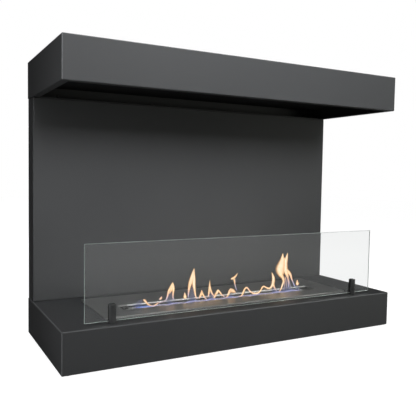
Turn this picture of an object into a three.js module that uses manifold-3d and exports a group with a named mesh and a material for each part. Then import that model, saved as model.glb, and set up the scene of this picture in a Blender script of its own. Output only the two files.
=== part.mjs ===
// Free-standing bioethanol fireplace. A folded steel base and a hood of the same footprint are joined
// by a shallow back casing. A stainless burner with one slot drops into the base, and a glass pane
// stands before it in two posts. Millimetres, +Z up, the front faces -Y, and the origin is on the
// floor under the middle of the object.
import * as THREE from "three";
import { RoundedBoxGeometry } from "three/addons/geometries/RoundedBoxGeometry.js";
import { mergeVertices } from "three/addons/utils/BufferGeometryUtils.js";
import Module from "manifold-3d";

// ---- Driving dimensions ----

// Cabinet
const width = 800;
const depth = 300;
const shellHeight = 600; // base shell's underside to the hood's top
const hoodHeight = 80;
const baseHeight = 80;
const casingDepth = 50;
const casingInset = 1; // the casing stands back from the shells' sides
const sheet = 1.5; // powder-coated steel
const bendRadius = 2; // outside of a fold
const returnFlange = 15; // folded-in lower edges of the hood
const baseReturn = 20; // folded-in lower edges of the base, wide enough for the feet
const casingReturn = 20; // folded-in rear edges of the casing
const seatGap = 0.3; // between pieces that rest on each other
const footHeight = 3;
const footRadius = 6;
const footSetback = 14; // cabinet's faces to a foot's middle, so that no foot shows

// Rear cover and hanger rail
const coverSheet = 1.5;
const coverRecess = 2.5; // keeps the screw heads off the wall
const railHeight = 60;
const railLip = 12;
const coverJoint = 1; // between the cover's upper edge and the rail
const keyholeSpacing = 500;
const keyholeRadius = 7;
const keyholeSlot = 7;
const keyholeRise = 16; // from the round entry to the end of its slot
const keyholeHeight = 24; // centre of the round entry above the rail's lower edge

// Heat shield under the hood
const shieldSheet = 1.2;
const shieldRise = 28;
const shieldFoot = 11;
const shieldScrewSetback = 75; // from the shield's front and rear ends
const shieldScrewLength = 3; // ends inside the hood's flange, so nothing shows from below

// Bolts between casing and shells, and smaller screws
const boltRadius = 2.5;
const boltLength = 12;
const boltHeadRadius = 4.5;
const boltHeadHeight = 2.8;
const boltSocket = 1.5; // hexagon recess, half across corners
const nutAcrossFlats = 8;
const nutHeight = 4;
const boltsPerJoint = 4;
const boltEdge = 59; // outer bolts to the casing's sides
const screwRadius = 1.5;
const screwLength = 8;
const screwHeadRadius = 3.2;
const screwHeadHeight = 1.8;
const screwSocket = 1;
const holeClearance = 0.3; // round a shank, on the radius
const coverScrewRows = 3;

// Burner
const plateEndGap = 96; // burner plate to the cabinet's side
const slotWidth = 38;
const frontStrip = 46; // plate in front of the slot
const rearStrip = 88;
const endStrip = 54;
const plateThickness = 3;
const plateCorner = 6;
const slotCorner = 3;
const burnerSetback = 48; // front of the base to the front of the plate
const seatLap = 10; // how far the plate laps onto the base
const trayClearance = 2; // between the spill tray and the cut-out
const rimDepth = 8; // stiffening rim folded down round the cut-out
const burnerSheet = 1.5;
const tankClearance = 4.5; // between the spill tray and the tank
const tankDepth = 58;
const trayFloorGap = 4;
const woolEndGap = 12; // slot end to wool end
const woolSideGap = 1;
const woolTopGap = 0.6; // wool to the damper above it

// Damper
const damperThickness = 1.5;
const damperLap = 10; // how much wider than the slot the damper is
const damperEndLap = 14.5; // how far it runs past each slot end
const damperHeadroom = 0.7; // under the plate
const lipRise = 1; // lip above the plate
const lipEndGap = 4; // lip to the slot's right end
const tongueWidth = 14;
const tongueLength = 16;
const tongueEndGap = 4; // slot's left end to the tongue
const tongueHole = 3;
const guideSheet = 1;
const guideReach = 11.5; // how far the guide reaches under the damper
const guideTopFlange = 10;
const guideEndGap = 0.6; // damper end to the guide's web
const guideOverrun = 4; // the guides run this far past the damper's travel

// Glass and its posts
const glassEndGap = 47; // glass to the cabinet's side
const glassHeight = 147;
const glassThickness = 4;
const glassSetback = 21.3; // front of the base to the middle of the glass
const postEndGap = 100; // middle of a post to the cabinet's side
const postRadius = 8;
const postHeight = 36.5;
const postBevel = 0.6;
const slotFloor = 3; // solid foot of a post under its slot
const linerThickness = 0.8;
const linerInset = 0.6; // liner inside the post's outline
const studLength = 14;
const washerRadius = 6;
const washerThickness = 1;

// How round things are drawn
const bendSegments = 3;
const roundSegments = 20;
const smallSegments = 12;

// ---- Places that follow from them ----

const baseFloor = footHeight;
const baseTop = baseFloor + baseHeight;
const hoodFloor = baseFloor + shellHeight - hoodHeight;
const frontY = -depth / 2;
const casingFrontY = depth / 2 - casingDepth;
const casingFloor = baseTop + seatGap;
const casingHeight = hoodFloor - seatGap - casingFloor;
const casingHalf = width / 2 - casingInset;
const coverY = [casingDepth - coverRecess - coverSheet, casingDepth - coverRecess];
const casingBody = coverY[0] - seatGap; // depth without the cover
const plateLength = width - 2 * plateEndGap;
const slotLength = plateLength - 2 * endStrip;
const plateDepth = frontStrip + slotWidth + rearStrip;
const slotRear = frontStrip + slotWidth; // all burner depths count from the plate's front edge
const trayInset = seatLap + trayClearance;
const tankInset = trayInset + burnerSheet + tankClearance;
const damperTop = -damperHeadroom;
const damperBottom = damperTop - damperThickness;
const guideShelf = damperBottom - seatGap;
const damperHalf = slotLength / 2 + damperEndLap;
const damperTravel = slotWidth - damperThickness - 2 * seatGap;
const glassSlot = glassThickness + 2 * linerThickness + 4 * seatGap;
const shankHole = boltRadius + holeClearance;
const screwHole = screwRadius + holeClearance;
const joint = 2 * sheet + 2 * seatGap; // two sheets held together by a bolt

// ---- Materials ----

function finish(color, roughness, metalness) {
  return new THREE.MeshStandardMaterial({ color, roughness, metalness });
}
const powderCoat = finish(0x35373a, 0.55, 0.1);
const heatCoat = finish(0x141616, 0.8, 0.1);
const stainless = finish(0x9a9c9c, 0.35, 1);
const blackSteel = finish(0x1b1c1d, 0.45, 0.6);
const zincPlate = finish(0xa6a8a8, 0.4, 0.9);
const wool = finish(0x8b8984, 0.95, 0);
const silicone = finish(0x2c2e2e, 0.6, 0);
const rubber = finish(0x161616, 0.85, 0);
const glass = new THREE.MeshStandardMaterial({
  color: 0xdfeeea,
  roughness: 0.05,
  metalness: 0,
  transparent: true,
  opacity: 0.3,
});

// ---- Solids ----

const wasm = await Module();
wasm.setup();

// A closed three.js geometry as a solid that can be cut and joined.
function solid(geometry) {
  const bare = geometry.clone();
  bare.deleteAttribute("normal");
  bare.deleteAttribute("uv");
  const merged = mergeVertices(bare, 1e-4);
  return new wasm.Manifold(
    new wasm.Mesh({
      numProp: 3,
      vertProperties: merged.getAttribute("position").array,
      triVerts: new Uint32Array(merged.index.array),
    }),
  );
}

// A named mesh of a solid, at a place in its group.
function piece(name, body, material, x = 0, y = 0, z = 0) {
  const { vertProperties, triVerts } = body.getMesh();
  const indexed = new THREE.BufferGeometry();
  indexed.setAttribute("position", new THREE.BufferAttribute(vertProperties, 3));
  indexed.setIndex(new THREE.BufferAttribute(triVerts, 1));
  const geometry = indexed.toNonIndexed();
  geometry.computeVertexNormals();
  const mesh = new THREE.Mesh(geometry, material);
  mesh.name = name;
  mesh.position.set(x, y, z);
  return mesh;
}

function group(x, y, z, ...children) {
  const place = new THREE.Group();
  place.position.set(x, y, z);
  place.add(...children);
  return place;
}

const joined = (first, ...rest) => rest.reduce((whole, part) => whole.add(part), first);
const cut = (first, ...rest) => rest.reduce((whole, part) => whole.subtract(part), first);

// A box between two values on each axis.
function block([x0, x1], [y0, y1], [z0, z1]) {
  const geometry = new THREE.BoxGeometry(x1 - x0, y1 - y0, z1 - z0);
  return solid(geometry.translate((x0 + x1) / 2, (y0 + y1) / 2, (z0 + z1) / 2));
}

// The same with every edge rounded, as folded sheet has.
function foldedBlock([x0, x1], [y0, y1], [z0, z1]) {
  const geometry = new RoundedBoxGeometry(x1 - x0, y1 - y0, z1 - z0, bendSegments, bendRadius);
  return solid(geometry.translate((x0 + x1) / 2, (y0 + y1) / 2, (z0 + z1) / 2));
}

// An upright round bar between two heights.
function bar(radius, z0, z1, x = 0, y = 0, sides = roundSegments) {
  const geometry = new THREE.CylinderGeometry(radius, radius, z1 - z0, sides).rotateX(Math.PI / 2);
  return solid(geometry.translate(x, y, (z0 + z1) / 2));
}

// The same lying along Y.
function lyingBar(radius, y0, y1, x, z, sides = smallSegments) {
  const geometry = new THREE.CylinderGeometry(radius, radius, y1 - y0, sides);
  return solid(geometry.translate(x, (y0 + y1) / 2, z));
}

// A flat plate of any outline between two heights.
function plate(outline, z0, z1, curveSegments = bendSegments + 1) {
  const settings = { depth: z1 - z0, bevelEnabled: false, curveSegments };
  return solid(new THREE.ExtrudeGeometry(outline, settings).translate(0, 0, z0));
}

// A folded strip: its section lies in XZ and runs from one Y to another.
function strip(points, y0, y1) {
  const section = new THREE.Shape(points.map(([x, z]) => new THREE.Vector2(x, z)));
  const geometry = new THREE.ExtrudeGeometry(section, { depth: y1 - y0, bevelEnabled: false });
  return solid(geometry.rotateX(Math.PI / 2).translate(0, y1, 0));
}

function roundedRectangle(halfWidth, y0, y1, radius) {
  const shape = new THREE.Shape();
  shape.absarc(halfWidth - radius, y0 + radius, radius, -Math.PI / 2, 0);
  shape.absarc(halfWidth - radius, y1 - radius, radius, 0, Math.PI / 2);
  shape.absarc(-halfWidth + radius, y1 - radius, radius, Math.PI / 2, Math.PI);
  shape.absarc(-halfWidth + radius, y0 + radius, radius, Math.PI, Math.PI * 1.5);
  return shape;
}

// Evenly spread values from one end to the other.
function spread(from, to, count) {
  return Array.from({ length: count }, (_, i) => from + ((to - from) * i) / (count - 1));
}

// A cap screw standing on its shank's end: the head is above z = 0 and the shank below it.
function capScrew(radius, length, headRadius, headHeight, socket) {
  return cut(
    joined(
      bar(headRadius, 0, headHeight, 0, 0, roundSegments),
      bar(radius, -length, headHeight / 2, 0, 0, smallSegments),
    ),
    bar(socket, headHeight / 2, headHeight + 1, 0, 0, 6),
  );
}

const bolt = capScrew(boltRadius, boltLength, boltHeadRadius, boltHeadHeight, boltSocket);
const screwHead = [screwHeadRadius, screwHeadHeight, screwSocket];
const screw = capScrew(screwRadius, screwLength, ...screwHead);
const shieldScrew = capScrew(screwRadius, shieldScrewLength, ...screwHead);
const nut = cut(
  bar(nutAcrossFlats / Math.sqrt(3), 0, nutHeight, 0, 0, 6),
  bar(shankHole, -1, nutHeight + 1, 0, 0, smallSegments),
);

// A folded box that is open below inside its return flanges.
function shell(height, frontReturn, sideReturn, rearReturn) {
  const halfX = width / 2;
  const halfY = depth / 2;
  const mouthX = [sideReturn - halfX, halfX - sideReturn];
  const mouthY = [frontReturn - halfY, halfY - rearReturn];
  return cut(
    foldedBlock([-halfX, halfX], [-halfY, halfY], [0, height]),
    block([sheet - halfX, halfX - sheet], [sheet - halfY, halfY - sheet], [sheet, height - sheet]),
    block(mouthX, mouthY, [-1, sheet + 1]),
  );
}

// ---- Bolted joints of the casing ----

const boltColumns = spread(boltEdge - casingHalf, casingHalf - boltEdge, boltsPerJoint);
const boltY = depth / 2 - casingDepth / 2;
const boltHoles = (z0, z1, y) => boltColumns.map((x) => bar(shankHole, z0, z1, x, y, smallSegments));

// Each bolt's head is in the casing, and its nut is inside the base below or the hood above.
function boltedJoint(name, material, meeting, up) {
  return boltColumns.flatMap((x, i) => {
    const boltMesh = piece(`${name}_bolt_${i + 1}`, bolt, material, x, boltY, meeting - up * (joint / 2));
    const nutMesh = piece(`${name}_nut_${i + 1}`, nut, material, x, boltY, meeting + up * (joint / 2));
    boltMesh.rotation.x = up > 0 ? Math.PI : 0;
    nutMesh.rotation.x = up > 0 ? 0 : Math.PI;
    return [boltMesh, nutMesh];
  });
}

// The hood's set can be seen from below, so it is blackened.
const joints = [
  ...boltedJoint("base_joint", zincPlate, baseTop + seatGap / 2, -1),
  ...boltedJoint("hood_joint", blackSteel, hoodFloor - seatGap / 2, 1),
];

// ---- Base ----

const postX = width / 2 - postEndGap;
const glassLength = width - 2 * glassEndGap;
const glassY = frontY + glassSetback;
const cutoutHalf = plateLength / 2 - seatLap;
const burnerY = frontY + burnerSetback;
const cutoutY = [burnerY + seatLap, burnerY + plateDepth - seatLap];

const rim = block(
  [-cutoutHalf - sheet, cutoutHalf + sheet],
  [cutoutY[0] - sheet, cutoutY[1] + sheet],
  [baseHeight - rimDepth, baseHeight - sheet / 2],
);
const baseShell = cut(
  joined(shell(baseHeight, baseReturn, baseReturn, baseReturn), rim),
  block([-cutoutHalf, cutoutHalf], cutoutY, [baseHeight - rimDepth - 1, baseHeight + 1]),
  ...boltHoles(baseHeight - 2 * sheet, baseHeight + 1, boltY),
  bar(shankHole, baseHeight - 2 * sheet, baseHeight + 1, -postX, glassY, smallSegments),
  bar(shankHole, baseHeight - 2 * sheet, baseHeight + 1, postX, glassY, smallSegments),
);

const footX = width / 2 - footSetback;
const footY = depth / 2 - footSetback;
const foot = bar(footRadius, 0, footHeight - seatGap);
const feet = [
  ["left_front", -footX, -footY],
  ["right_front", footX, -footY],
  ["left_rear", -footX, footY],
  ["right_rear", footX, footY],
].map(([corner, x, y]) => piece(`foot_${corner}`, foot, rubber, x, y));

const base = group(0, 0, baseFloor, piece("base_shell", baseShell, powderCoat));

// ---- Back casing, counted from its front face and its lower edge ----

const screwX = casingHalf - casingReturn / 2;
const coverHeight = casingHeight - railHeight - coverJoint;
const coverRows = spread(casingReturn / 2, coverHeight - casingReturn / 2, coverScrewRows);
const coverScrews = coverRows.flatMap((z) => [
  [-screwX, z],
  [screwX, z],
]);
const railScrews = spread(-screwX, screwX, boltsPerJoint).map((x) => [x, casingHeight - casingReturn / 2]);
const screwHoles = (places, y0, y1) => places.map(([x, z]) => lyingBar(screwHole, y0, y1, x, z));
const casingBoltY = casingDepth / 2;

const casingShell = cut(
  foldedBlock([-casingHalf, casingHalf], [0, casingBody], [0, casingHeight]),
  block(
    [sheet - casingHalf, casingHalf - sheet],
    [sheet, casingBody - sheet],
    [sheet, casingHeight - sheet],
  ),
  block(
    [casingReturn - casingHalf, casingHalf - casingReturn],
    [casingBody - 2 * sheet, casingBody + 1],
    [casingReturn, casingHeight - casingReturn],
  ),
  ...boltHoles(-1, 2 * sheet, casingBoltY),
  ...boltHoles(casingHeight - 2 * sheet, casingHeight + 1, casingBoltY),
  ...screwHoles([...coverScrews, ...railScrews], casingBody - 2 * sheet, casingBody + 1),
);

const rearCover = cut(
  block([-casingHalf, casingHalf], coverY, [0, coverHeight]),
  ...screwHoles(coverScrews, coverY[0] - 1, coverY[1] + 1),
);

const railFloor = casingHeight - railHeight;
const keyholes = [-keyholeSpacing / 2, keyholeSpacing / 2].flatMap((x) => [
  lyingBar(keyholeRadius, coverY[0] - 1, coverY[1] + 1, x, railFloor + keyholeHeight, roundSegments),
  lyingBar(keyholeSlot / 2, coverY[0] - 1, coverY[1] + 1, x, railFloor + keyholeHeight + keyholeRise),
  block(
    [x - keyholeSlot / 2, x + keyholeSlot / 2],
    [coverY[0] - 1, coverY[1] + 1],
    [railFloor + keyholeHeight, railFloor + keyholeHeight + keyholeRise],
  ),
]);
const railLipHalf = casingHalf - casingReturn - seatGap;
const railLipY = [coverY[0] - railLip, coverY[1]];
const hangerRail = cut(
  joined(
    block([-casingHalf, casingHalf], coverY, [railFloor, casingHeight]),
    block([-railLipHalf, railLipHalf], railLipY, [railFloor, railFloor + coverSheet]),
  ),
  ...keyholes,
  ...screwHoles(railScrews, coverY[0] - 1, coverY[1] + 1),
);

function rearScrews(name, places) {
  return places.map(([x, z], i) => {
    const mesh = piece(`${name}_screw_${i + 1}`, screw, blackSteel, x, coverY[1] + seatGap, z);
    mesh.rotation.x = -Math.PI / 2;
    return mesh;
  });
}

const casing = group(
  0,
  casingFrontY,
  casingFloor,
  piece("back_casing", casingShell, powderCoat),
  piece("rear_cover", rearCover, powderCoat),
  piece("hanger_rail", hangerRail, zincPlate),
  ...rearScrews("rear_cover", coverScrews),
  ...rearScrews("hanger_rail", railScrews),
);

// ---- Hood, counted from its lower edge ----

const shieldHalf = width / 2 - sheet - seatGap;
const shieldFloor = sheet + seatGap;
const shieldY = depth / 2 - sheet - seatGap;
const shieldScrewX = shieldHalf - shieldFoot / 2;
const shieldScrews = [
  [-shieldScrewX, shieldScrewSetback - shieldY],
  [shieldScrewX, shieldScrewSetback - shieldY],
  [-shieldScrewX, shieldY - shieldScrewSetback],
  [shieldScrewX, shieldY - shieldScrewSetback],
];
const shieldHoles = (z0, z1) => shieldScrews.map(([x, y]) => bar(screwHole, z0, z1, x, y, smallSegments));

const hoodShell = cut(
  shell(hoodHeight, returnFlange, returnFlange, casingDepth),
  ...boltHoles(-1, 2 * sheet, boltY),
  ...shieldHoles(-1, 2 * sheet),
);

// A wide channel with feet turned in, which stand on the hood's side flanges.
function shieldSection() {
  const right = [
    [shieldHalf - shieldFoot, 0],
    [shieldHalf, 0],
    [shieldHalf, shieldRise],
  ];
  const inner = [
    [shieldHalf - shieldSheet, shieldRise - shieldSheet],
    [shieldHalf - shieldSheet, shieldSheet],
    [shieldHalf - shieldFoot, shieldSheet],
  ];
  const mirrored = (points) => points.map(([x, z]) => [-x, z]).reverse();
  return [...right, ...mirrored(right), ...mirrored(inner), ...inner];
}
const heatShield = cut(
  strip(shieldSection(), -shieldY, shieldY),
  ...shieldHoles(-1 - shieldFloor, 2 * shieldSheet),
);

const hood = group(
  0,
  0,
  hoodFloor,
  piece("hood_shell", hoodShell, powderCoat),
  piece("heat_shield", heatShield, heatCoat, 0, 0, shieldFloor),
  ...shieldScrews.map(([x, y], i) =>
    piece(`heat_shield_screw_${i + 1}`, shieldScrew, blackSteel, x, y, shieldFloor + shieldSheet + seatGap),
  ),
);

// ---- Burner, counted from the underside of its plate and the plate's front edge ----

const burnerPlate = cut(
  plate(roundedRectangle(plateLength / 2, 0, plateDepth, plateCorner), 0, plateThickness),
  plate(roundedRectangle(slotLength / 2, frontStrip, slotRear, slotCorner), -1, plateThickness + 1),
);

// An open-topped box welded under the plate.
function pan(inset, floor) {
  const half = plateLength / 2 - inset;
  const front = inset;
  const rear = plateDepth - inset;
  return cut(
    block([-half, half], [front, rear], [floor, -seatGap]),
    block(
      [burnerSheet - half, half - burnerSheet],
      [front + burnerSheet, rear - burnerSheet],
      [floor + burnerSheet, 1],
    ),
  );
}
const tankFloor = -tankDepth;
const fuelTank = pan(tankInset, tankFloor);
const spillTray = pan(trayInset, tankFloor - trayFloorGap - burnerSheet);

const woolHalf = slotLength / 2 - woolEndGap;
const woolY = tankInset + burnerSheet + woolSideGap;
const woolPad = block(
  [-woolHalf, woolHalf],
  [woolY, plateDepth - woolY],
  [tankFloor + burnerSheet + seatGap, damperBottom - woolTopGap],
);

// The damper rests behind the slot. Its lip stands at the slot's rear edge, and its tongue carries
// the eye for a hook.
const lipY = [slotRear - seatGap - damperThickness, slotRear - seatGap];
const tongueX = [tongueEndGap - slotLength / 2, tongueEndGap + tongueWidth - slotLength / 2];
const lipX = [tongueX[1] + tongueEndGap, slotLength / 2 - lipEndGap];
const tongueY = lipY[0] - tongueLength;
const damperY = [lipY[0], lipY[0] + slotWidth + damperLap];
const damper = cut(
  joined(
    block([-damperHalf, damperHalf], damperY, [damperBottom, damperTop]),
    block(lipX, lipY, [damperBottom, plateThickness + lipRise]),
    block(tongueX, [tongueY, lipY[1]], [damperBottom, damperTop]),
  ),
  bar(tongueHole, damperBottom - 1, damperTop + 1, tongueX[0] + tongueWidth / 2, tongueY + tongueLength / 2),
);

// A guide has a shelf under the damper's end, a web beyond that end, and a flange welded under the plate.
const guideWeb = damperHalf + guideEndGap;
const guideY = [damperY[0] - damperTravel - guideOverrun, damperY[1] + guideOverrun];
function guide(side) {
  const section = [
    [guideWeb - guideReach, guideShelf - guideSheet],
    [guideWeb + guideSheet, guideShelf - guideSheet],
    [guideWeb + guideSheet, -seatGap - guideSheet],
    [guideWeb + guideTopFlange, -seatGap - guideSheet],
    [guideWeb + guideTopFlange, -seatGap],
    [guideWeb, -seatGap],
    [guideWeb, guideShelf],
    [guideWeb - guideReach, guideShelf],
  ];
  const points = side > 0 ? section : section.map(([x, z]) => [-x, z]).reverse();
  return strip(points, ...guideY);
}

const burner = group(
  0,
  burnerY,
  baseTop + seatGap,
  piece("burner_plate", burnerPlate, stainless),
  piece("fuel_tank", fuelTank, stainless),
  piece("spill_tray", spillTray, stainless),
  piece("wool_pad", woolPad, wool),
  piece("damper_guide_left", guide(-1), stainless),
  piece("damper_guide_right", guide(1), stainless),
  piece("damper", damper, stainless),
);

// ---- Glass and posts, counted from the base's top and the middle of the glass ----

const slotBottom = seatGap + slotFloor;
const postTop = seatGap + postHeight;
const glassFloor = slotBottom + linerThickness + 2 * seatGap;

const postProfile = [
  [0, seatGap],
  [postRadius, seatGap],
  [postRadius, postTop - postBevel],
  [postRadius - postBevel, postTop],
  [0, postTop],
].map(([r, z]) => new THREE.Vector2(r, z));
const postBody = solid(new THREE.LatheGeometry(postProfile, roundSegments).rotateX(Math.PI / 2));
const post = cut(
  joined(postBody, bar(boltRadius, seatGap - studLength, seatGap + 1, 0, 0, smallSegments)),
  block([-postRadius - 1, postRadius + 1], [-glassSlot / 2, glassSlot / 2], [slotBottom, postTop + 1]),
);

// A channel of silicone between the glass and the slot, cut to the post's outline.
const linerHalf = glassSlot / 2 - seatGap;
const liner = cut(
  block([-postRadius, postRadius], [-linerHalf, linerHalf], [slotBottom + seatGap, postTop - 2 * postBevel]),
  block(
    [-postRadius - 1, postRadius + 1],
    [linerThickness - linerHalf, linerHalf - linerThickness],
    [slotBottom + seatGap + linerThickness, postTop + 1],
  ),
).intersect(bar(postRadius - linerInset, 0, postTop + 1));

const washer = cut(
  bar(washerRadius, 0, washerThickness),
  bar(shankHole, -1, washerThickness + 1, 0, 0, smallSegments),
);
const underSheet = -sheet - seatGap; // a washer's upper face
const postSet = (side, x) => [
  piece(`post_${side}`, post, blackSteel, x),
  piece(`post_liner_${side}`, liner, silicone, x),
  piece(`post_washer_${side}`, washer, zincPlate, x, 0, underSheet - washerThickness),
  piece(`post_nut_${side}`, nut, zincPlate, x, 0, underSheet - washerThickness - seatGap - nutHeight),
];

const pane = block(
  [-glassLength / 2, glassLength / 2],
  [-glassThickness / 2, glassThickness / 2],
  [0, glassHeight],
);
const windscreen = group(
  0,
  glassY,
  baseTop,
  ...postSet("left", -postX),
  ...postSet("right", postX),
  piece("glass_pane", pane, glass, 0, 0, glassFloor),
);

// ---- The whole object ----

const fireplace = new THREE.Group();
fireplace.add(...feet, base, casing, ...joints, hood, burner, windscreen);

export default fireplace;
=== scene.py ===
import math

import bmesh
import bpy
from mathutils import Matrix, Vector


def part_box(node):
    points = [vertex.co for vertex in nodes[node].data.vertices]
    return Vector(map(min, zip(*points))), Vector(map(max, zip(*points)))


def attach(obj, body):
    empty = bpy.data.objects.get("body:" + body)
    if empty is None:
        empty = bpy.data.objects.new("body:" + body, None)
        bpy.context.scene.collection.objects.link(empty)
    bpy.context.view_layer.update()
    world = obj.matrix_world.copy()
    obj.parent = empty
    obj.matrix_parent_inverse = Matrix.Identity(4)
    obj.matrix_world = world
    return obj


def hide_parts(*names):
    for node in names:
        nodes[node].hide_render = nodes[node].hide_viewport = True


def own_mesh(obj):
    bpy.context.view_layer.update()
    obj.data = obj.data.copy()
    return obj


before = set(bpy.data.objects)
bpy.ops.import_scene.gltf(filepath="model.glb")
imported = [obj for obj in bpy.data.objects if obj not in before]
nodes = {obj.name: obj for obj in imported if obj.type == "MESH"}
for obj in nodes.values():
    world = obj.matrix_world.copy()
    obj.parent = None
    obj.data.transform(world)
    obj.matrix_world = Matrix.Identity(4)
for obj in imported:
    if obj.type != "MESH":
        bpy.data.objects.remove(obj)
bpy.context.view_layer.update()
scene = bpy.context.scene

MM = 0.001
HALF_WIDTH = 0.4
HALF_DEPTH = 0.15
BASE_TOP = 0.083
HOOD_TOP = 0.603
PLATE_TOP = 86.3 * MM
SLOT_MIDDLE = -37 * MM


# ---- Camera ----

EYE = Vector((-0.63360, -1.08732, 0.36527))
YAW = math.radians(28.096)
PITCH = math.radians(-3.289)
ROLL = math.radians(0.887)
FOCAL_LENGTH = 46.88
SHIFT_X, SHIFT_Y = 0.0254, -0.0073


def stand_camera():
    """The camera, turned from its yaw, pitch and roll, looks from the front left."""
    ahead = Vector(
        (
            math.sin(YAW) * math.cos(PITCH),
            math.cos(YAW) * math.cos(PITCH),
            math.sin(PITCH),
        )
    )
    level = Vector((math.cos(YAW), -math.sin(YAW), 0))
    above = level.cross(ahead)
    right = level * math.cos(ROLL) + above * math.sin(ROLL)
    up = above * math.cos(ROLL) - level * math.sin(ROLL)
    lens = bpy.data.cameras.new("front_left_camera")
    lens.sensor_width = 36
    lens.lens = FOCAL_LENGTH
    lens.shift_x = SHIFT_X
    lens.shift_y = SHIFT_Y
    lens.clip_start = 0.05
    camera = bpy.data.objects.new("front_left_camera", lens)
    scene.collection.objects.link(camera)
    turn = Matrix((right, up, -ahead)).transposed()
    camera.matrix_world = Matrix.Translation(EYE) @ turn.to_4x4()
    scene.camera = camera


stand_camera()
scene.view_settings.view_transform = "Standard"


# ---- Node helpers ----


def add(tree, kind, inputs=None, **settings):
    """A node with its settings, and each input set to a value or joined to a socket."""
    made = tree.nodes.new(kind)
    for name, value in settings.items():
        setattr(made, name, value)
    for name, value in (inputs or {}).items():
        if isinstance(value, bpy.types.NodeSocket):
            tree.links.new(value, made.inputs[name])
        else:
            made.inputs[name].default_value = value
    return made


def graded(tree, factor, stops, interpolation="LINEAR"):
    """A colour ramp with a list of (place, colour) stops."""
    ramp = add(tree, "ShaderNodeValToRGB", {"Fac": factor})
    ramp.color_ramp.interpolation = interpolation
    elements = ramp.color_ramp.elements
    while len(elements) < len(stops):
        elements.new(0.5)
    for element, (place, colour) in zip(elements, stops):
        element.position = place
        element.color = (*colour, 1)
    return ramp.outputs["Color"]


def spanned(tree, value, low, high, start=0.0, end=1.0):
    """A value between two limits, spread over a new range."""
    return add(
        tree,
        "ShaderNodeMapRange",
        {
            "Value": value,
            "From Min": start,
            "From Max": end,
            "To Min": low,
            "To Max": high,
        },
    ).outputs["Result"]


def combined(tree, kind, first, second):
    """Two values joined by a sum, a product or the like."""
    return add(tree, "ShaderNodeMath", {0: first, 1: second}, operation=kind).outputs[0]


def mixed(tree, factor, first, second):
    """A colour between two others."""
    return add(tree, "ShaderNodeMix", {0: factor, 6: first, 7: second}, data_type="RGBA").outputs[2]


def speckle(tree, place, scale, detail=2.0, roughness=0.5):
    """Noise of a given scale per metre."""
    return add(
        tree,
        "ShaderNodeTexNoise",
        {"Vector": place, "Scale": scale, "Detail": detail, "Roughness": roughness},
    ).outputs["Fac"]


def stretched(tree, place, scale):
    """Object coordinates scaled differently on each axis."""
    return add(tree, "ShaderNodeMapping", {"Vector": place, "Scale": scale}).outputs["Vector"]


def raised(tree, height, distance, strength):
    """A fine relief, given by its height in metres."""
    inputs = {"Height": height, "Distance": distance, "Strength": strength}
    return add(tree, "ShaderNodeBump", inputs).outputs["Normal"]


def new_material(name):
    """An empty node material, with its tree and its object coordinates."""
    material = bpy.data.materials.new(name)
    material.use_nodes = True
    tree = material.node_tree
    tree.nodes.clear()
    place = add(tree, "ShaderNodeTexCoord").outputs["Object"]
    return material, tree, place


def surface(tree, shader):
    """The material's output."""
    add(tree, "ShaderNodeOutputMaterial", {"Surface": shader})


def principled(tree, inputs):
    """Blender's own shader for paint, metal, rubber and glass."""
    return add(tree, "ShaderNodeBsdfPrincipled", inputs).outputs["BSDF"]


# ---- Finishes ----


def painted_highlight_edges(tree, place):
    """Painted highlight: the shells' upper and upright outer edges, lightened to stand in for light
    caught along their bends.
    """
    way = add(tree, "ShaderNodeSeparateXYZ", {0: place}).outputs
    across = combined(tree, "SUBTRACT", HALF_WIDTH, combined(tree, "ABSOLUTE", way["X"], 0.0))
    deep = combined(tree, "SUBTRACT", HALF_DEPTH, combined(tree, "ABSOLUTE", way["Y"], 0.0))
    to_base = combined(tree, "ABSOLUTE", combined(tree, "SUBTRACT", way["Z"], BASE_TOP), 0.0)
    to_hood = combined(tree, "ABSOLUTE", combined(tree, "SUBTRACT", way["Z"], HOOD_TOP), 0.0)
    over = combined(tree, "MINIMUM", to_base, to_hood)
    near_end, near_front, near_top = [
        spanned(tree, gap, 1.0, 0.0, 0.2 * MM, 2.4 * MM) for gap in (across, deep, over)
    ]
    upright = combined(tree, "MULTIPLY", near_end, near_front)
    along = combined(tree, "MULTIPLY", near_front, near_top)
    sideways = combined(tree, "MULTIPLY", near_end, near_top)
    return combined(tree, "MAXIMUM", upright, combined(tree, "MAXIMUM", along, sideways))


def powder_coat(name, dark, light, gloss, grain, grain_height, specular, highlight_colour=None):
    """Sprayed and baked coat: a fine peel, and broad faint changes of shade and gloss."""
    material, tree, place = new_material(name)
    peel = speckle(tree, place, grain, 3.0, 0.6)
    cloud = speckle(tree, place, 3.2, 2.0)
    fleck = speckle(tree, place, grain * 2.6, 1.0)
    broad = spanned(tree, cloud, 0.0, 0.65, 0.25, 0.75)
    shade = combined(tree, "ADD", broad, spanned(tree, fleck, 0.0, 0.35, 0.3, 0.7))
    tone = graded(tree, shade, [(0.0, dark), (1.0, light)])
    # Painted highlight: a pale grey laid along the shells' outer edges, a little patchy.
    if highlight_colour:
        patchy = spanned(tree, cloud, 0.6, 1.0, 0.3, 0.7)
        highlight_mask = combined(tree, "MULTIPLY", painted_highlight_edges(tree, place), patchy)
        tone = mixed(tree, highlight_mask, tone, (*highlight_colour, 1))
    surface(
        tree,
        principled(
            tree,
            {
                "Base Color": tone,
                "Roughness": spanned(tree, cloud, gloss[0], gloss[1], 0.3, 0.7),
                "Specular IOR Level": specular,
                "Normal": raised(tree, peel, grain_height, 0.5),
            },
        ),
    )
    return material


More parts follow.
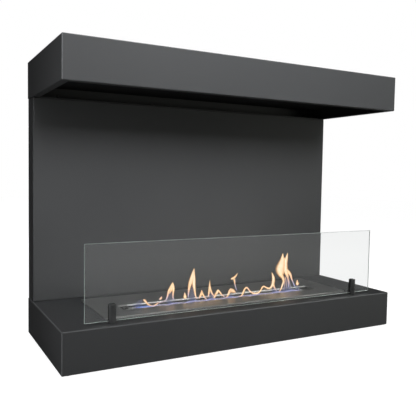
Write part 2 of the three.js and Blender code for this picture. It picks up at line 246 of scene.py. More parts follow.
def brushed_stainless():
    """Rolled and brushed sheet: hair lines along X, with a few deeper ones."""
    material, tree, place = new_material("brushed_stainless")
    hairs = speckle(tree, stretched(tree, place, (5, 1500, 1500)), 1.0, 4.0, 0.65)
    lines = speckle(tree, stretched(tree, place, (2, 260, 260)), 1.0, 2.0)
    cloud = speckle(tree, place, 7.0, 2.0)
    tone = graded(tree, lines, [(0.3, (0.47, 0.475, 0.465)), (0.7, (0.56, 0.565, 0.55))])
    fine = spanned(tree, hairs, 0.30, 0.46, 0.3, 0.7)
    rough = combined(tree, "ADD", fine, spanned(tree, cloud, -0.03, 0.04, 0.3, 0.7))
    surface(
        tree,
        principled(
            tree,
            {
                "Base Color": tone,
                "Metallic": 1.0,
                "Roughness": rough,
                "Normal": raised(tree, hairs, 0.00002, 0.35),
            },
        ),
    )
    return material


def stainless_lit_and_shaded(lit_above):
    """Brushed sheet with painted light: pale at its lip's top as if lit, and near black below as
    painted shade under the plate.
    """
    material, tree, place = new_material("stainless_lit_and_shaded")
    hairs = speckle(tree, stretched(tree, place, (5, 1500, 1500)), 1.0, 4.0, 0.65)
    shade_mottle = speckle(tree, stretched(tree, place, (30, 60, 60)), 1.0, 3.0)
    height = add(tree, "ShaderNodeSeparateXYZ", {0: place}).outputs["Z"]
    # Painted light: pale just under the plate's top, and near black in the painted shade below it.
    rise = spanned(tree, height, 0.0, 1.0, lit_above - 3.6 * MM, lit_above - 2.8 * MM)
    low = graded(tree, shade_mottle, [(0.3, (0.035, 0.034, 0.034)), (0.7, (0.16, 0.15, 0.14))])
    tone = mixed(tree, rise, low, (0.72, 0.72, 0.70, 1))
    surface(
        tree,
        principled(
            tree,
            {
                "Base Color": tone,
                "Metallic": spanned(tree, rise, 1.0, 0.35),
                "Roughness": spanned(tree, hairs, 0.34, 0.5, 0.3, 0.7),
                "Normal": raised(tree, hairs, 0.00002, 0.35),
            },
        ),
    )
    return material


def plated(name, dark, light, metal, gloss):
    """Plated or blackened fastener steel: a fine mottle and dulled patches."""
    material, tree, place = new_material(name)
    mottle = speckle(tree, place, 420, 3.0)
    patch = speckle(tree, place, 60, 2.0)
    surface(
        tree,
        principled(
            tree,
            {
                "Base Color": graded(tree, patch, [(0.3, dark), (0.7, light)]),
                "Metallic": metal,
                "Roughness": spanned(tree, mottle, gloss[0], gloss[1], 0.3, 0.7),
                "Normal": raised(tree, mottle, 0.00003, 0.3),
            },
        ),
    )
    return material


def moulded(name, dark, light, gloss, grain, specular):
    """Rubber or silicone: soft, with a faint moulded grain."""
    material, tree, place = new_material(name)
    skin = speckle(tree, place, grain, 3.0)
    surface(
        tree,
        principled(
            tree,
            {
                "Base Color": graded(tree, skin, [(0.3, dark), (0.7, light)]),
                "Roughness": spanned(tree, skin, gloss[0], gloss[1], 0.3, 0.7),
                "Specular IOR Level": specular,
                "Normal": raised(tree, skin, 0.00008, 0.4),
            },
        ),
    )
    return material


def wool_fibre():
    """Ceramic wool in lighter and darker grey tufts; the grey is its off-white darkened as painted
    shade of the slot it lies in.
    """
    material, tree, place = new_material("ceramic_wool")
    strands = speckle(tree, stretched(tree, place, (160, 420, 700)), 1.0, 4.0, 0.7)
    tufts = speckle(tree, place, 90, 3.0)
    # Painted shade: the tufts' greys are the off-white wool darkened for the shade of the slot.
    tone = graded(tree, tufts, [(0.25, (0.34, 0.33, 0.315)), (0.75, (0.58, 0.57, 0.55))])
    surface(
        tree,
        principled(
            tree,
            {
                "Base Color": tone,
                "Roughness": spanned(tree, strands, 0.85, 1.0),
                "Specular IOR Level": 0.15,
                "Normal": raised(tree, strands, 0.0006, 0.8),
            },
        ),
    )
    return material


def clear_glass():
    """Float glass for the pane's faces; lamps shine through it."""
    material, tree, place = new_material("clear_glass")
    smear = speckle(tree, place, 9.0, 3.0)
    tint = graded(tree, smear, [(0.0, (0.98, 0.992, 0.988)), (1.0, (0.985, 0.995, 0.992))])
    glass = principled(
        tree,
        {
            "Base Color": tint,
            "Roughness": 0.0,
            "IOR": 1.5,
            "Transmission Weight": 1.0,
        },
    )
    lit = add(tree, "ShaderNodeBsdfTransparent", {"Color": (0.95, 0.975, 0.965, 1)}).outputs[0]
    lamps = add(tree, "ShaderNodeLightPath").outputs["Is Shadow Ray"]
    surface(tree, add(tree, "ShaderNodeMixShader", {0: lamps, 1: glass, 2: lit}).outputs[0])
    return material


def ground_edge():
    """The pane's ground edges: pale green and frosted."""
    material, tree, place = new_material("ground_glass_edge")
    grind = speckle(tree, stretched(tree, place, (700, 1800, 700)), 1.0, 3.0)
    tone = graded(tree, grind, [(0.3, (0.46, 0.55, 0.52)), (0.7, (0.64, 0.72, 0.69))])
    surface(
        tree,
        principled(
            tree,
            {
                "Base Color": tone,
                "Roughness": spanned(tree, grind, 0.3, 0.5),
                "IOR": 1.5,
                "Transmission Weight": 0.35,
                "Normal": raised(tree, grind, 0.00004, 0.4),
            },
        ),
    )
    return material


def flame_glow():
    """Burning ethanol: blue at the wool, lavender over it, then orange, and cream at heart."""
    material, tree, place = new_material("ethanol_flame")
    heat = add(tree, "ShaderNodeAttribute", attribute_name="warmth").outputs["Fac"]
    heart = add(tree, "ShaderNodeAttribute", attribute_name="heart").outputs["Fac"]
    thickness = add(tree, "ShaderNodeAttribute", attribute_name="thickness").outputs["Fac"]
    rim = graded(
        tree,
        heat,
        [
            (0.0, (0.24, 0.36, 0.90)),
            (0.1, (0.46, 0.47, 0.80)),
            (0.2, (0.46, 0.38, 0.50)),
            (0.45, (0.72, 0.40, 0.30)),
            (0.75, (0.94, 0.40, 0.12)),
            (1.0, (0.98, 0.46, 0.16)),
        ],
    )
    core = graded(
        tree,
        heat,
        [
            (0.0, (0.28, 0.46, 1.0)),
            (0.1, (0.56, 0.56, 0.90)),
            (0.2, (0.52, 0.46, 0.60)),
            (0.45, (0.95, 0.62, 0.42)),
            (0.75, (1.0, 0.84, 0.54)),
            (1.0, (1.0, 0.95, 0.74)),
        ],
    )
    colour = mixed(tree, heart, rim, core)
    flicker = speckle(tree, stretched(tree, place, (260, 260, 60)), 1.0, 2.0)
    alpha = add(
        tree,
        "ShaderNodeMath",
        {0: thickness, 1: spanned(tree, flicker, 0.75, 1.2, 0.3, 0.7)},
        operation="MULTIPLY",
        use_clamp=True,
    ).outputs[0]
    surface(
        tree,
        principled(
            tree,
            {
                "Base Color": (0, 0, 0, 1),
                "Roughness": 1.0,
                "Specular IOR Level": 0.0,
                "Emission Color": colour,
                "Emission Strength": spanned(tree, heart, 0.85, 1.6),
                "Alpha": alpha,
            },
        ),
    )
    return material


COAT = powder_coat(
    "graphite_powder_coat",
    (0.050, 0.0515, 0.0535),
    (0.060, 0.0615, 0.0635),
    (0.42, 0.50),
    950,
    0.000015,
    0.2,
    # the pale grey of the painted highlight along the shells' outer edges
    (0.20, 0.205, 0.21),
)
HEAT_COAT = powder_coat(
    "matt_heat_coat",
    (0.010, 0.011, 0.011),
    (0.017, 0.018, 0.018),
    (0.7, 0.84),
    700,
    0.00012,
    0.25,
)
STAINLESS = brushed_stainless()
# The damper's painted light and painted shade meet just under the plate's top.
LIT_AND_SHADED_STAINLESS = stainless_lit_and_shaded(PLATE_TOP + 1 * MM)
BLACK_STEEL = plated(
    "blackened_steel", (0.048, 0.050, 0.051), (0.072, 0.074, 0.074), 0.3, (0.34, 0.50)
)
ZINC = plated("zinc_plate", (0.50, 0.51, 0.52), (0.64, 0.65, 0.65), 0.9, (0.28, 0.46))
WOOL = wool_fibre()
SILICONE = moulded(
    "dark_silicone", (0.024, 0.026, 0.026), (0.036, 0.038, 0.038), (0.5, 0.65), 300, 0.35
)
RUBBER = moulded(
    "black_rubber", (0.012, 0.012, 0.012), (0.022, 0.022, 0.021), (0.75, 0.9), 500, 0.3
)
GLASS = clear_glass()
GLASS_EDGE = ground_edge()
FLAME = flame_glow()


# ---- Sheet metal, posts, feet and glass: the CAD shapes with eased edges ----


def place_piece(name, mesh, body, replaced=()):
    """A finished mesh put in the scene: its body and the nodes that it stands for."""
    piece = bpy.data.objects.new(name, mesh)
    scene.collection.objects.link(piece)
    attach(piece, body)
    if replaced:
        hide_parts(*replaced)
    return piece


def merged_copy(node):
    """The node's loose triangles joined at their corners, with flat faces made whole."""
    source = nodes[node].data
    mesh = bpy.data.meshes.new(node + "_copy")
    corners = [v.co[:] for v in source.vertices]
    mesh.from_pydata(corners, [], [p.vertices[:] for p in source.polygons])
    shape = bmesh.new()
    shape.from_mesh(mesh)
    bmesh.ops.remove_doubles(shape, verts=shape.verts, dist=1e-5)
    bmesh.ops.dissolve_limit(
        shape, angle_limit=math.radians(0.4), verts=shape.verts, edges=shape.edges
    )
    shape.to_mesh(mesh)
    shape.free()
    return mesh


def applied(mesh, *modifiers):
    """The mesh with modifiers applied; each is (kind, settings)."""
    holder = bpy.data.objects.new("being_worked", mesh)
    scene.collection.objects.link(holder)
    for kind, settings in modifiers:
        modifier = holder.modifiers.new(kind.lower(), kind)
        for name, value in settings.items():
            setattr(modifier, name, value)
    graph = bpy.context.evaluated_depsgraph_get()
    done = bpy.data.meshes.new_from_object(holder.evaluated_get(graph), depsgraph=graph)
    bpy.data.objects.remove(holder)
    return done


def eased(mesh, ease, corner=40):
    """Edges sharper than the corner angle rounded by a small radius, the rest smooth."""
    mesh.shade_smooth()
    return applied(
        mesh,
        (
            "BEVEL",
            {
                "width": ease,
                "segments": 2,
                "limit_method": "ANGLE",
                "angle_limit": math.radians(corner),
                "harden_normals": True,
            },
        ),
        ("WEIGHTED_NORMAL", {"keep_sharp": True}),
    )


def dressed(node, body, material, ease):
    """The node's own shape with eased edges and its finish."""
    mesh = eased(merged_copy(node), ease)
    mesh.materials.clear()
    mesh.materials.append(material)
    return place_piece(node + "_finished", mesh, body, [node])


for node, slot, material, ease in [
    ("base_shell", "powder_coat", COAT, 0.3),
    ("hood_shell", "powder_coat", COAT, 0.3),
    ("back_casing", "powder_coat", COAT, 0.3),
    ("rear_cover", "powder_coat", COAT, 0.4),
    ("hanger_rail", "zinc_plate", ZINC, 0.3),
    ("heat_shield", "heat_coat", HEAT_COAT, 0.3),
    ("foot_left_front", "rubber", RUBBER, 0.5),
    ("foot_right_front", "rubber", RUBBER, 0.5),
    ("foot_left_rear", "rubber", RUBBER, 0.5),
    ("foot_right_rear", "rubber", RUBBER, 0.5),
    ("post_left", "black_steel", BLACK_STEEL, 0.25),
    ("post_right", "black_steel", BLACK_STEEL, 0.25),
    ("post_liner_left", "silicone", SILICONE, 0.15),
    ("post_liner_right", "silicone", SILICONE, 0.15),
]:
    dressed(node, "cabinet", material, ease * MM)

for node, ease in [
    ("burner_plate", 0.5),
    ("fuel_tank", 0.3),
    ("spill_tray", 0.3),
    ("damper_guide_left", 0.2),
    ("damper_guide_right", 0.2),
]:
    dressed(node, "burner", STAINLESS, ease * MM)
dressed("damper", "damper", LIT_AND_SHADED_STAINLESS, 0.3 * MM)


def glass_pane():
    """The pane: clear faces, and ground edges with a finish of their own."""
    mesh = eased(merged_copy("glass_pane"), 0.3 * MM)
    mesh.materials.clear()
    mesh.materials.append(GLASS)
    mesh.materials.append(GLASS_EDGE)
    for face in mesh.polygons:
        face.material_index = 0 if abs(face.normal.y) > 0.99 else 1
    place_piece("glass_pane_finished", mesh, "glass", ["glass_pane"])


glass_pane()


# ---- Fasteners: one Geometry Nodes tree for each kind ----


def start_tree(name, sizes):
    """A geometry tree with its points, its turn and its finish, and a named input for each size."""
    tree = bpy.data.node_groups.new(name, "GeometryNodeTree")
    face = tree.interface
    face.new_socket("Points", in_out="INPUT", socket_type="NodeSocketGeometry")
    for size in sizes:
        face.new_socket(size, in_out="INPUT", socket_type="NodeSocketFloat")
    face.new_socket("Turn", in_out="INPUT", socket_type="NodeSocketVector")
    face.new_socket("Finish", in_out="INPUT", socket_type="NodeSocketMaterial")
    face.new_socket("Fasteners", in_out="OUTPUT", socket_type="NodeSocketGeometry")
    return tree, add(tree, "NodeGroupInput").outputs


def finish_tree(tree, given, shape):
    """The tree's last two nodes: its finish and its output."""
    coated = add(tree, "GeometryNodeSetMaterial", {"Geometry": shape, "Material": given["Finish"]})
    add(tree, "NodeGroupOutput", {0: coated.outputs[0]})


def end_tree(tree, given, shape):
    """The shape set on every point, made real and given its finish."""
    turn = add(tree, "FunctionNodeEulerToRotation", {0: given["Turn"]}).outputs[0]
    rows = add(
        tree,
        "GeometryNodeInstanceOnPoints",
        {"Points": given["Points"], "Instance": shape, "Rotation": turn},
    ).outputs[0]
    real = add(tree, "GeometryNodeRealizeInstances", {0: rows}).outputs[0]
    finish_tree(tree, given, real)
    return tree


def turned(tree, sides, lower, upper, height, lift):
    """A turned or hexagonal blank: a cone's frustum that stands at a height."""
    blank = add(
        tree,
        "GeometryNodeMeshCone",
        {"Vertices": sides, "Radius Bottom": lower, "Radius Top": upper, "Depth": height},
    ).outputs["Mesh"]
    where = add(tree, "ShaderNodeCombineXYZ", {"Z": lift}).outputs[0]
    moved = add(tree, "GeometryNodeTransform", {"Geometry": blank, "Translation": where})
    return moved.outputs[0]


def times(tree, value, factor):
    """A size scaled by a factor."""
    return combined(tree, "MULTIPLY", value, factor)


def merged(tree, *shapes):
    """Several shapes as one."""
    node = add(tree, "GeometryNodeJoinGeometry")
    for shape in shapes:
        tree.links.new(shape, node.inputs[0])
    return node.outputs[0]


def bored(tree, blank, cutter):
    """A blank with a cutter's shape taken out of it."""
    settings = {"operation": "DIFFERENCE", "solver": "EXACT"}
    return add(tree, "GeometryNodeMeshBoolean", {0: blank, 1: cutter}, **settings).outputs[0]


def cap_screw_tree():
    """A cap screw with a chamfered head, a hexagon socket and a threaded shank below z = 0."""
    tree, given = start_tree(
        "cap_screws",
        ["Head Radius", "Head Height", "Socket Radius", "Shank Radius", "Shank Length"],
    )
    radius, height = given["Head Radius"], given["Head Height"]
    skirt = turned(tree, 36, radius, radius, times(tree, height, 0.7), 0.0)
    crown_radius, crown_height = times(tree, radius, 0.84), times(tree, height, 0.3)
    crown = turned(tree, 36, radius, crown_radius, crown_height, times(tree, height, 0.7))
    head = add(
        tree,
        "GeometryNodeMeshBoolean",
        {1: merged(tree, skirt, crown)},
        operation="UNION",
        solver="EXACT",
    ).outputs[0]
    key = given["Socket Radius"]
    socket = turned(tree, 6, key, key, height, times(tree, height, 0.45))
    thread, length = given["Shank Radius"], given["Shank Length"]
    shank = turned(tree, 20, times(tree, thread, 0.8), thread, length, times(tree, length, -1.0))
    return end_tree(tree, given, merged(tree, bored(tree, head, socket), shank))


def nut_tree():
    """A hexagon nut or, with many sides, a washer: its outer face is at z = 0 plus its height."""
    sizes = ["Corner Radius", "Height", "Bore Radius", "Sides"]
    tree, given = start_tree("nuts_and_washers", sizes)
    corner, height = given["Corner Radius"], given["Height"]
    sides = add(tree, "FunctionNodeFloatToInt", {0: given["Sides"]}).outputs[0]
    prism = turned(tree, sides, corner, corner, height, 0.0)
    wide, narrow = times(tree, corner, 1.12), times(tree, corner, 0.92)
    blank = turned(tree, 36, wide, narrow, height, 0.0)
    chamfered = add(
        tree,
        "GeometryNodeMeshBoolean",
        {1: merged(tree, prism)},
        operation="INTERSECT",
        solver="EXACT",
    )
    tree.links.new(blank, chamfered.inputs[1])
    hole = given["Bore Radius"]
    bore = turned(tree, 24, hole, hole, times(tree, height, 3.0), times(tree, height, -1.0))
    return end_tree(tree, given, bored(tree, chamfered.outputs[0], bore))


def grown(mesh, tree, values):
    """The mesh that a geometry tree makes from another, with its inputs set by name."""
    holder = bpy.data.objects.new("being_grown", mesh)
    scene.collection.objects.link(holder)
    modifier = holder.modifiers.new("rows", "NODES")
    modifier.node_group = tree
    for item in tree.interface.items_tree:
        if item.in_out == "INPUT" and item.name in values:
            modifier[item.identifier] = values[item.name]
    graph = bpy.context.evaluated_depsgraph_get()
    done = bpy.data.meshes.new_from_object(holder.evaluated_get(graph), depsgraph=graph)
    bpy.data.objects.remove(holder)
    return done


def seat(node, face, inset):
    """Where a fastener sits: the middle of one face of its node's box, moved in by its head."""
    low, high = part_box(node)
    mid = (low + high) / 2
    if face == "rear":
        return (mid.x, high.y - inset, mid.z)
    if face == "top":
        return (mid.x, mid.y, high.z - inset)
    return (mid.x, mid.y, low.z + inset)


def fastened(name, tree, replaced, face, turn, sizes, material):
    """One mesh of equal fasteners at their seats, in place of their CAD nodes."""
    inset = sizes.get("Head Height", 0.0)
    points = bpy.data.meshes.new(name)
    points.from_pydata([seat(node, face, inset) for node in replaced], [], [])
    mesh = grown(points, tree, {**sizes, "Turn": turn, "Finish": material})
    mesh.set_sharp_from_angle(angle=math.radians(30))
    place_piece(name, mesh, "cabinet", replaced)


def names(stem, count):
    """A stem's numbered node names."""
    return [f"{stem}_{i + 1}" for i in range(count)]


CAP_SCREWS = cap_screw_tree()
NUTS = nut_tree()
SCREW_SIZES = {
    "Head Radius": 3.2 * MM,
    "Head Height": 1.8 * MM,
    "Socket Radius": 1.0 * MM,
    "Shank Radius": 1.5 * MM,
    "Shank Length": 8 * MM,
}
SHORT_SCREW_SIZES = {**SCREW_SIZES, "Shank Length": 3 * MM}
BOLT_SIZES = {
    "Head Radius": 4.5 * MM,
    "Head Height": 2.8 * MM,
    "Socket Radius": 1.5 * MM,
    "Shank Radius": 2.5 * MM,
    "Shank Length": 12 * MM,
}
NUT_SIZES = {
    "Corner Radius": 8 / math.sqrt(3) * MM,
    "Height": 4 * MM,
    "Bore Radius": 2.8 * MM,
    "Sides": 6.0,
}
WASHER_SIZES = {
    "Corner Radius": 6 * MM,
    "Height": 1 * MM,
    "Bore Radius": 2.8 * MM,
    "Sides": 36.0,
}
UPWARDS = (0.0, 0.0, 0.0)
DOWNWARDS = (math.pi, 0.0, 0.0)
REARWARDS = (-math.pi / 2, 0.0, 0.0)
# Blackened steel for the rear and shield screws; on the hood's zinc-plated bolts and nuts it is
# painted shade of the hood's dark recess.
BLACKENED_AND_PAINTED_SHADE = (BLACK_STEEL, "black_steel")
BRIGHT = (ZINC, "zinc_plate")

# name, kind, the CAD nodes, the face that each sits on, its turn, its sizes, its finish
FASTENERS = [
    (
        "rear_screws",
        CAP_SCREWS,
        names("rear_cover_screw", 6) + names("hanger_rail_screw", 4),
        "rear",
        REARWARDS,
        SCREW_SIZES,
        BLACKENED_AND_PAINTED_SHADE,
    ),
    (
        "shield_screws",
        CAP_SCREWS,
        names("heat_shield_screw", 4),
        "top",
        UPWARDS,
        SHORT_SCREW_SIZES,
        BLACKENED_AND_PAINTED_SHADE,
    ),
    ("base_bolts", CAP_SCREWS, names("base_joint_bolt", 4), "top", UPWARDS, BOLT_SIZES, BRIGHT),
    # Painted shade: the hood's zinc-plated bolts are given the dark blackened finish of the recess
    # they sit in.
    (
        "hood_bolts",
        CAP_SCREWS,
        names("hood_joint_bolt", 4),
        "bottom",
        DOWNWARDS,
        BOLT_SIZES,
        BLACKENED_AND_PAINTED_SHADE,
    ),
    (
        "base_nuts",
        NUTS,
        names("base_joint_nut", 4) + ["post_nut_left", "post_nut_right"],
        "top",
        DOWNWARDS,
        NUT_SIZES,
        BRIGHT,
    ),
    # Painted shade: the hood's zinc-plated nuts are given the dark blackened finish as well.
    ("hood_nuts", NUTS, names("hood_joint_nut", 4), "bottom", UPWARDS, NUT_SIZES, BLACKENED_AND_PAINTED_SHADE),
    (
        "post_washers",
        NUTS,
        ["post_washer_left", "post_washer_right"],
        "top",
        DOWNWARDS,
        WASHER_SIZES,
        BRIGHT,
    ),
]
for name, kind, replaced, face, turn, sizes, (material, slot) in FASTENERS:
    fastened(name, kind, replaced, face, turn, sizes, material)


# ---- Wool: a soft block with loose fibres on it ----


def wool_fibre_tree():
    """Short bent fibres scattered on the block's faces."""
    tree = bpy.data.node_groups.new("loose_fibres", "GeometryNodeTree")
    face = tree.interface
    face.new_socket("Block", in_out="INPUT", socket_type="NodeSocketGeometry")
    for size in ["Fibre Length", "Fibre Radius", "Fibres Per Area"]:
        face.new_socket(size, in_out="INPUT", socket_type="NodeSocketFloat")
    face.new_socket("Seed", in_out="INPUT", socket_type="NodeSocketInt")
    face.new_socket("Finish", in_out="INPUT", socket_type="NodeSocketMaterial")
    face.new_socket("Wool", in_out="OUTPUT", socket_type="NodeSocketGeometry")
    given = add(tree, "NodeGroupInput").outputs
    spots = add(
        tree,
        "GeometryNodeDistributePointsOnFaces",
        {"Mesh": given["Block"], "Density": given["Fibres Per Area"], "Seed": given["Seed"]},
    )
    span = given["Fibre Length"]
    start = add(tree, "ShaderNodeCombineXYZ", {"X": times(tree, span, -0.5)}).outputs[0]
    aside, above = times(tree, span, 0.25), times(tree, span, 0.03)
    bend = add(tree, "ShaderNodeCombineXYZ", {"Y": aside, "Z": above}).outputs[0]
    end = add(tree, "ShaderNodeCombineXYZ", {"X": times(tree, span, 0.5)}).outputs[0]
    strand = add(
        tree,
        "GeometryNodeCurveQuadraticBezier",
        {"Resolution": 4, "Start": start, "Middle": bend, "End": end},
    ).outputs[0]
    section = add(
        tree,
        "GeometryNodeCurvePrimitiveCircle",
        {"Resolution": 3, "Radius": given["Fibre Radius"]},
    ).outputs[0]
    tube = {"Curve": strand, "Profile Curve": section}
    fibre = add(tree, "GeometryNodeCurveToMesh", tube).outputs[0]
    spin = add(
        tree,
        "FunctionNodeRandomValue",
        {2: 0.0, 3: math.tau, "Seed": given["Seed"]},
        data_type="FLOAT",
    ).outputs[1]
    around = add(tree, "ShaderNodeCombineXYZ", {"Z": spin}).outputs[0]
    lie = add(
        tree,
        "FunctionNodeRotateRotation",
        {
            0: spots.outputs["Rotation"],
            1: add(tree, "FunctionNodeEulerToRotation", {0: around}).outputs[0],
        },
        rotation_space="LOCAL",
    ).outputs[0]
    laid = add(
        tree,
        "GeometryNodeInstanceOnPoints",
        {"Points": spots.outputs["Points"], "Instance": fibre, "Rotation": lie},
    ).outputs[0]
    real = add(tree, "GeometryNodeRealizeInstances", {0: laid}).outputs[0]
    finish_tree(tree, given, merged(tree, given["Block"], real))
    return tree


def wool_pad():
    """The block, a little uneven on every side, with fibres lying on it."""
    low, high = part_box("wool_pad")
    margin = 0.5 * MM
    unevenness = 0.6 * MM
    cuts_along, cuts_across = 119, 23
    inner = (high - low) / 2 - Vector((margin, margin, margin))
    centre = (low + high) / 2
    shape = bmesh.new()
    bmesh.ops.create_cube(shape, size=2)
    long_edges = [e for e in shape.edges if abs(e.verts[0].co.x - e.verts[1].co.x) > 1]
    bmesh.ops.subdivide_edges(shape, edges=long_edges, cuts=cuts_along, use_grid_fill=True)
    short_edges = [e for e in shape.edges if abs(e.verts[0].co.x - e.verts[1].co.x) < 1e-6]
    bmesh.ops.subdivide_edges(shape, edges=short_edges, cuts=cuts_across, use_grid_fill=True)
    for v in shape.verts:
        p = Vector((v.co.x * inner.x, v.co.y * inner.y, v.co.z * inner.z))
        wave = math.sin(p.x * 310 + 2 * math.sin(p.y * 170)) * math.sin(p.y * 250 + p.z * 190)
        ripple = math.sin(p.x * 1130 + p.z * 800) * math.sin(p.y * 970 + 1.3)
        pull = 1 - (0.5 + 0.35 * wave + 0.15 * ripple) * unevenness / min(inner)
        v.co = centre + p * pull
    mesh = bpy.data.meshes.new("wool_block")
    shape.to_mesh(mesh)
    shape.free()
    mesh.shade_smooth()
    values = {
        "Fibre Length": 9 * MM,
        "Fibre Radius": 0.09 * MM,
        "Fibres Per Area": 9000.0,
        "Seed": 7,
        "Finish": WOOL,
    }
    fibrous = grown(mesh, wool_fibre_tree(), values)
    place_piece("wool_pad_fibres", fibrous, "burner", ["wool_pad"])


wool_pad()


# ---- Flames ----
# Each tongue or strand is a list of (x, z, half width, heat), in millimetres, over the slot.

TONGUES = [
    # the loop and sparks at the left
    [
        (-199, 98, 1.6, 0.55), (-196, 96, 2.6, 0.7), (-191, 90, 2.0, 0.6), (-185, 85, 1.8, 0.7),
        (-177, 82.5, 2.0, 0.95), (-170, 85, 1.8, 0.7), (-166, 88, 1.4, 0.4),
        (-158, 89, 1.2, 0.25), (-149, 91, 1.2, 0.3),
    ],
    [(-162, 95, 1.2, 0.35), (-159, 97.5, 2.8, 0.6), (-157, 101, 0.6, 0.4)],
    # the leaning pair
    [
        (-149, 90, 1.2, 0.2), (-144, 99, 2.0, 0.35), (-141, 110, 2.8, 0.65),
        (-136.5, 118, 3.6, 0.9), (-131.5, 130, 0.5, 0.7),
    ],
    [
        (-128, 90, 1.4, 0.15), (-130.5, 98, 1.8, 0.35), (-130, 107, 2.4, 0.6),
        (-129.5, 116, 3.2, 0.95), (-130, 123, 2.2, 0.9), (-131.5, 130, 0.5, 0.7),
    ],
    # the drop
    [
        (-101, 90.5, 1.2, 0.4), (-101, 95, 4.6, 0.85), (-101.5, 99.5, 2.8, 0.7),
        (-102.5, 105, 0.5, 0.5),
    ],
    # the tall one, with a dark gap between its legs
    [
        (-93, 94, 1.4, 0.15), (-92.5, 105, 2.4, 0.4), (-90.5, 117, 4.0, 0.7),
        (-87, 129, 5.2, 0.95), (-83, 142, 4.2, 1.0), (-79.5, 157, 0.5, 0.8),
    ],
    [
        (-71, 88, 1.2, 0.3), (-75, 96, 2.0, 0.55), (-77.5, 108, 2.8, 0.8),
        (-79.5, 121, 4.2, 1.0), (-79.5, 136, 3.6, 1.0), (-79.5, 157, 0.5, 0.8),
    ],
    # the low peaks
    [(-66, 88, 1.2, 0.35), (-62.5, 95, 2.6, 0.75), (-60, 101, 2.2, 0.8), (-59, 107, 0.5, 0.6)],
    [(-59.5, 105, 0.6, 0.6), (-57, 98, 2.0, 0.8), (-52, 90, 1.8, 0.5), (-46, 84, 1.2, 0.25)],
    [(-43, 89, 1.2, 0.3), (-41, 99, 2.4, 0.7), (-39.8, 111, 2.4, 0.9), (-39, 127, 0.5, 0.7)],
    [(-39.2, 122, 0.6, 0.8), (-37.5, 108, 2.4, 0.9), (-33, 97, 2.2, 0.6), (-27, 89, 1.4, 0.3)],
    [
        (-28, 86, 1.6, 0.6), (-24.5, 91, 2.8, 0.95), (-18.5, 103, 0.9, 0.8),
        (-13, 98, 2.2, 0.8), (-7, 91, 1.6, 0.5), (0, 86, 1.2, 0.3),
    ],
    [
        (0, 83.5, 1.0, 0.25), (6, 85, 1.6, 0.45), (10.5, 91, 2.6, 0.8), (14, 98, 4.0, 0.95),
        (17, 104, 0.8, 0.7),
    ],
    [(12, 97, 1.6, 0.8), (19, 98.5, 4.6, 1.0), (25, 96, 3.6, 0.8), (29.5, 93, 0.8, 0.5)],
    # the loose wisp
    [
        (16, 125.5, 1.0, 0.6), (20.5, 126.5, 2.8, 0.8), (27, 129.5, 2.6, 0.8),
        (34.5, 138, 0.5, 0.6),
    ],
    [(24, 128, 1.6, 0.8), (25.5, 121, 2.0, 0.75), (28, 111, 1.3, 0.35), (32, 99, 0.9, 0.12)],
    # the wave that climbs into a tongue
    [
        (38, 82.5, 1.2, 0.35), (46, 84, 1.8, 0.7), (51, 92, 2.6, 0.8), (55, 99.5, 2.4, 0.75),
        (61, 101.5, 2.2, 0.6), (68, 94, 1.8, 0.5), (75, 88.5, 1.8, 0.65), (82, 86, 2.2, 0.95),
        (91, 86, 2.4, 1.0), (99, 91, 2.0, 0.8), (103.5, 98, 2.2, 0.75), (109, 100.5, 2.2, 0.7),
        (117, 96.5, 2.0, 0.7), (125, 94.5, 2.6, 0.85), (131.5, 99, 3.4, 1.0),
        (135.5, 108, 4.4, 1.0), (136, 118, 4.2, 1.0), (133.5, 126, 2.6, 0.85),
        (130.5, 133, 0.5, 0.7),
    ],
    [(146, 86, 1.0, 0.15), (141, 93, 1.8, 0.4), (137, 101, 2.6, 0.7), (136, 110, 2.0, 0.9)],
    # the twin tongue
    [
        (153, 83, 1.2, 0.3), (159, 90, 2.0, 0.75), (162.5, 98, 2.6, 1.0), (166, 108, 2.8, 0.8),
        (163, 118, 4.2, 0.7), (157, 127, 8.0, 0.85), (154, 138, 11.5, 1.0),
        (157.5, 149, 10.0, 1.0), (161, 162, 6.0, 0.95), (162, 177, 0.5, 0.75),
    ],
    [
        (182, 92, 1.4, 0.12), (181, 106, 2.0, 0.35), (178, 119, 3.4, 0.6), (173, 131, 6.4, 0.9),
        (170, 142, 7.4, 1.0), (170.5, 153, 6.2, 1.0), (173.5, 164, 4.2, 0.95),
        (176.5, 177, 0.5, 0.75),
    ],
    [
        (201, 93, 1.2, 0.08), (195.5, 103, 1.6, 0.2), (190, 114, 2.6, 0.5),
        (187, 122, 3.6, 0.6), (181, 129.5, 4.4, 0.8), (173, 137, 3.0, 1.0),
    ],
    # full hearts of the low peaks
    [(-64, 90, 1.0, 0.3), (-61, 96, 2.6, 0.8), (-59.5, 101, 1.8, 0.95), (-59, 107, 0.5, 0.6)],
    [(-27, 90, 1.0, 0.4), (-22, 95, 3.2, 0.9), (-18.5, 99, 2.6, 1.0), (-18, 104, 0.6, 0.8)],
    [(12, 95, 1.4, 0.7), (17, 98, 4.0, 1.0), (22, 97, 3.6, 0.95), (27, 94, 1.2, 0.6)],
    [
        (-138.5, 106, 0.8, 0.5), (-135, 113, 3.2, 0.8), (-132.5, 120, 3.4, 0.95),
        (-131.5, 128, 0.8, 0.8),
    ],
    [
        (165, 126, 1.2, 0.8), (162.5, 134, 4.2, 0.95), (163.5, 143, 5.0, 1.0),
        (165.5, 152, 4.4, 1.0), (167, 160, 2.2, 0.9), (167.5, 166, 0.5, 0.8),
    ],
    # strands under the twin tongue
    [(168, 86, 0.5, 0.3), (170, 100, 0.7, 0.4), (168, 116, 1.0, 0.6)],
    [(176, 88, 0.5, 0.25), (175, 102, 0.7, 0.4), (171, 118, 1.0, 0.6)],
    [(188, 90, 0.5, 0.2), (184, 104, 0.7, 0.35), (177, 122, 1.2, 0.6)],
    # the last spark
    [
        (208.5, 95, 1.4, 0.5), (208.5, 98.5, 5.2, 0.85), (208, 102.5, 3.0, 0.8),
        (207.5, 109, 0.5, 0.6),
    ],
]

